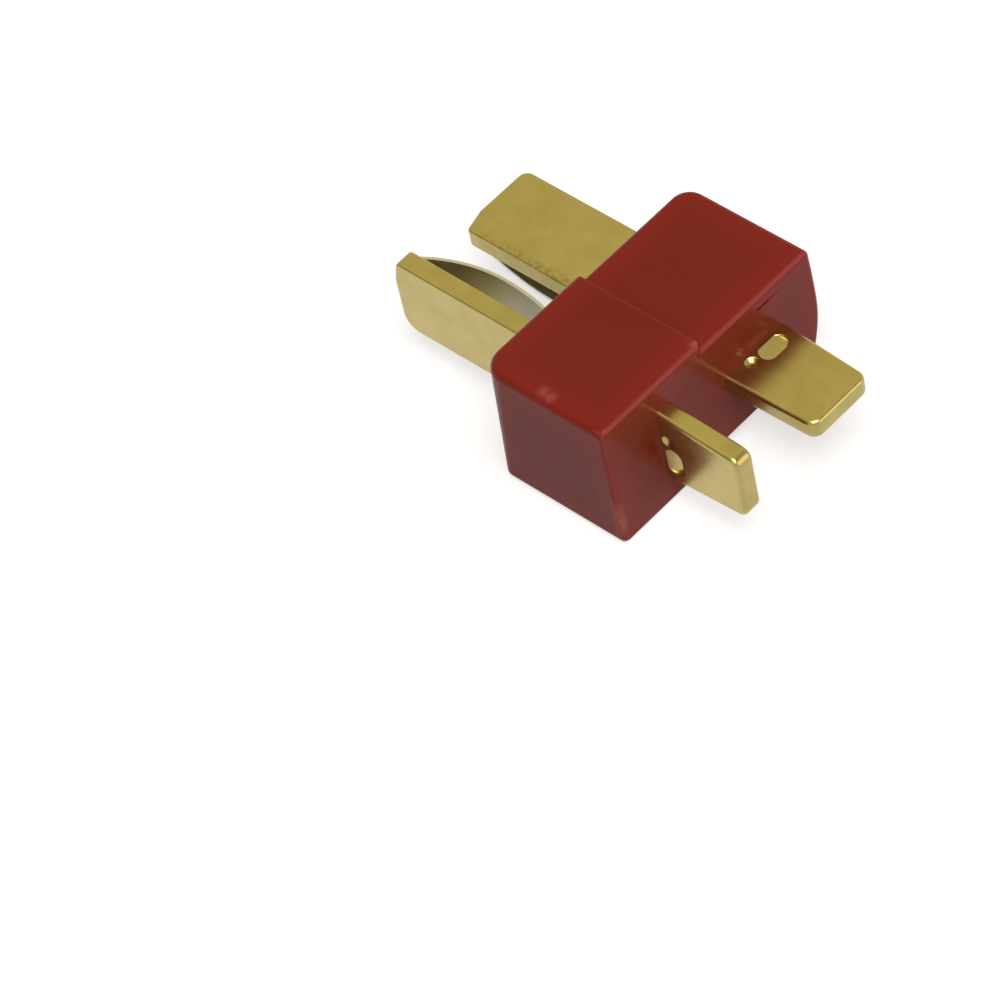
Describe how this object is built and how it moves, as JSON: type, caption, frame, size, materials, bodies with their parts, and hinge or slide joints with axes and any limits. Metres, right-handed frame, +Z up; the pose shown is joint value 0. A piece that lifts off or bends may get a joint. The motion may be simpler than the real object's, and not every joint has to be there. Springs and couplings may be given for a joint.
{
  "type": "t plug battery connector",
  "caption": "Battery plug: a stepped nylon block carrying an upright and a flat blade with bowed leaf springs in front, and solder tabs behind.",
  "frame": {"origin": "middle of the housing's mating face: half the width and half the height of the taller half", "axes": "+X is the way the blades point when the plug is pushed into its socket, +Y runs across the width towards the upright contact, +Z is up, square to the flat blade"},
  "size_m": [0.0237, 0.0154, 0.0082],
  "materials": {
    "red_nylon": "moulded, satin sides and a glossier rear face",
    "gold_plate": "satin gold plating over a stamped brass strip",
    "spring_steel": "bright rolled spring steel"
  },
  "bodies": {
    "plug": {"housing": "red_nylon", "upright_contact": "gold_plate", "flat_contact": "gold_plate"},
    "upright_leaf": {"upright_spring": "spring_steel"},
    "flat_leaf": {"flat_spring": "spring_steel"}
  },
  "joints": [
    {"name": "upright_spring_press", "type": "hinge", "parent": "plug", "child": "upright_leaf", "pos_m": [0.0089, 0.00297, 0], "axis": [0, 0, -1], "range_deg": [0, 3.5], "stiffness_Nm_per_rad": 0.24},
    {"name": "flat_spring_press", "type": "hinge", "parent": "plug", "child": "flat_leaf", "pos_m": [0.0089, -0.0032, -0.00064], "axis": [0, 1, 0], "range_deg": [0, 3.5], "stiffness_Nm_per_rad": 0.24}
  ]
}
